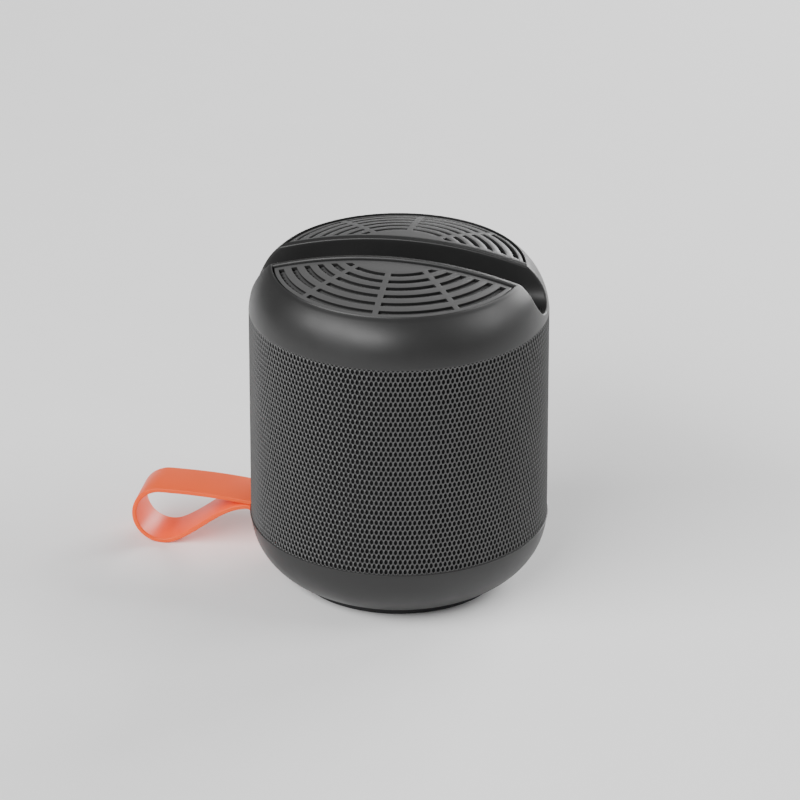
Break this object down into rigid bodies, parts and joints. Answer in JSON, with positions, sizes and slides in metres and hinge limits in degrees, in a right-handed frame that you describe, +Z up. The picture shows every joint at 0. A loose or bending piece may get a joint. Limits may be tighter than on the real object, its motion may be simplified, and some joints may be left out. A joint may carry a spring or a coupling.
{
  "type": "portable bluetooth speaker",
  "caption": "Palm-sized cylindrical wireless speaker with a perforated sleeve, a domed top with a phone-stand slot and half-moon grilles, and a silicone wrist loop.",
  "frame": {"origin": "on the speaker's axis, at the surface the foot ring rests on", "axes": "+Z up; +X along the phone slot, away from the wrist strap; -Y towards the front, +Y towards the rear control panel"},
  "size_m": [0.1205, 0.0855, 0.0993],
  "materials": {
    "charcoal_plastic": "fine moulded texture",
    "panel_plastic": "fine moulded texture",
    "insert_plastic": "satin moulded",
    "inner_plastic": "plain moulded",
    "grille_steel": "satin powder coat, perforated",
    "under_mesh_steel": "dark powder coat, perforated",
    "pad_rubber": "matt",
    "flap_rubber": "matt",
    "button_rubber": "matt",
    "strap_silicone": "satin",
    "screw_steel": "plated",
    "basket_steel": "pressed and plated",
    "magnet_ferrite": "ground",
    "cone_paper": "pressed pulp",
    "spider_cloth": "resin-stiffened cloth",
    "coil_wire": "enamelled winding",
    "battery_wrap": "shrink wrap",
    "seal_foam": "closed-cell foam",
    "acoustic_cloth": "thin black cloth",
    "board_green": "solder mask",
    "chip_black": "moulded package",
    "light_lens": "frosted"
  },
  "bodies": {
    "speaker_body": {"bottom_cap": "charcoal_plastic", "foot_ring": "pad_rubber", "base_screws": "screw_steel", "strap_pin": "screw_steel", "passive_frame": "inner_plastic", "passive_surround": "pad_rubber", "cabinet": "inner_plastic", "battery_pack": "battery_wrap", "battery_foam": "seal_foam", "main_board": "board_green", "board_chips": "chip_black", "board_screws": "screw_steel", "baffle": "inner_plastic", "driver_gasket": "seal_foam", "driver_basket": "basket_steel", "driver_screws": "screw_steel", "driver_yoke": "basket_steel", "driver_magnet": "magnet_ferrite", "driver_top_plate": "basket_steel", "driver_spider": "spider_cloth", "driver_surround": "pad_rubber", "cap_screws": "screw_steel", "top_cap": "charcoal_plastic", "front_grille_insert": "insert_plastic", "rear_grille_insert": "insert_plastic", "front_grille_mesh": "under_mesh_steel", "rear_grille_mesh": "under_mesh_steel", "speaker_grille": "grille_steel", "dust_cloth": "acoustic_cloth", "control_panel": "panel_plastic", "control_board": "board_green", "key_switches": "screw_steel", "status_light": "light_lens", "port_board": "board_green", "charge_port": "screw_steel", "port_tongue": "chip_black", "flap_pin": "screw_steel"},
    "power_button": {"power_button": "button_rubber"},
    "volume_up_button": {"volume_up_button": "button_rubber"},
    "play_button": {"play_button": "button_rubber"},
    "volume_down_button": {"volume_down_button": "button_rubber"},
    "port_flap": {"port_flap": "flap_rubber"},
    "wrist_strap": {"wrist_strap": "strap_silicone"},
    "driver_cone": {"driver_cone": "cone_paper", "voice_coil": "coil_wire", "dust_cap": "cone_paper"},
    "passive_cone": {"passive_diaphragm": "inner_plastic", "passive_weight": "screw_steel"}
  },
  "joints": [
    {"name": "power_button_press", "type": "slide", "parent": "speaker_body", "child": "power_button", "axis": [0, -1, 0], "range_m": [0, 0.0006], "stiffness_N_per_m": 800},
    {"name": "volume_up_button_press", "type": "slide", "parent": "speaker_body", "child": "volume_up_button", "axis": [0, -1, 0], "range_m": [0, 0.0006], "stiffness_N_per_m": 800},
    {"name": "play_button_press", "type": "slide", "parent": "speaker_body", "child": "play_button", "axis": [0, -1, 0], "range_m": [0, 0.0006], "stiffness_N_per_m": 800},
    {"name": "volume_down_button_press", "type": "slide", "parent": "speaker_body", "child": "volume_down_button", "axis": [0, -1, 0], "range_m": [0, 0.0006], "stiffness_N_per_m": 800},
    {"name": "port_flap_hinge", "type": "hinge", "parent": "speaker_body", "child": "port_flap", "pos_m": [-0.0079, 0.0412, 0.0295], "axis": [0, 0, 1], "range_deg": [0, 90]},
    {"name": "strap_swing", "type": "hinge", "parent": "speaker_body", "child": "wrist_strap", "pos_m": [-0.0355, 0.0081, 0.0115], "axis": [0, 1, 0], "range_deg": [0, 12]},
    {"name": "driver_travel", "type": "slide", "parent": "speaker_body", "child": "driver_cone", "axis": [0, 0, 1], "range_m": [-0.0012, 0.0012], "stiffness_N_per_m": 1200},
    {"name": "passive_travel", "type": "slide", "parent": "speaker_body", "child": "passive_cone", "axis": [0, 0, 1], "range_m": [-0.001, 0.001], "stiffness_N_per_m": 1000}
  ]
}
